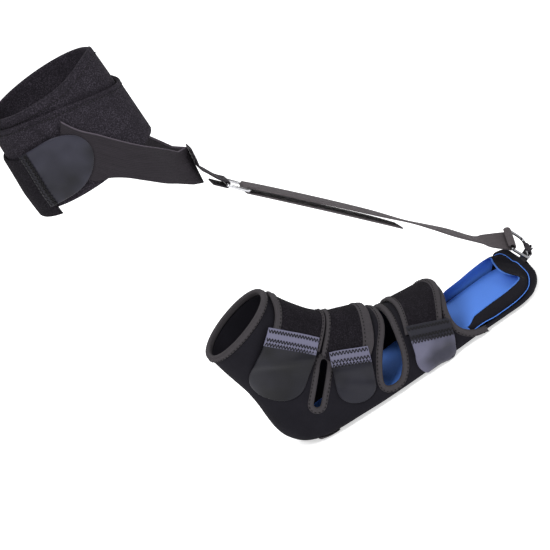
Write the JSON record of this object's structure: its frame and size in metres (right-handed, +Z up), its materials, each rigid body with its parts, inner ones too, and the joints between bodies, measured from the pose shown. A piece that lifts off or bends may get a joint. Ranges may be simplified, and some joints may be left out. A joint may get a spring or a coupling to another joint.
{
  "type": "night splint",
  "caption": "Soft foot and ankle night splint: padded open-toe boot, calf cuff and a ring-ended pull strap that holds the toes up towards the shin.",
  "frame": {"origin": "centre of the heel's seat on the footbed's top, under the leg's axis", "axes": "+X to the toes, +Y to the inner (medial) side of the right foot, +Z up the leg"},
  "size_m": [0.3903, 0.1339, 0.4701],
  "materials": {
    "neoprene": "matte brushed-loop foam fabric, near black",
    "binding": "matte woven edge tape, dark brown-grey",
    "hook": "smooth satin tab face, dark grey",
    "webbing": "flat woven webbing, dark",
    "strap": "flat woven strap webbing, mid grey",
    "lining": "matte blue lining",
    "chrome": "bright plated wire"
  },
  "bodies": {
    "root": {"foot_sleeve": "neoprene", "gap_binding": "binding", "slit_binding": "binding", "toe_binding": "binding", "collar_binding": "binding", "toe_guard": "neoprene", "footbed": "lining", "heel_patch": "binding", "ankle_strap": "neoprene", "instep_strap": "neoprene", "forefoot_strap": "neoprene", "ankle_tab": "hook", "instep_tab": "hook", "forefoot_tab": "hook", "calf_cuff": "neoprene", "calf_overwrap": "neoprene", "calf_closure": "neoprene", "calf_tab": "hook", "yoke_band": "webbing", "yoke_lead": "strap", "yoke_ring": "chrome", "pull_strap": "strap", "toe_ring": "chrome", "toe_loop": "webbing"}
  },
  "joints": []
}
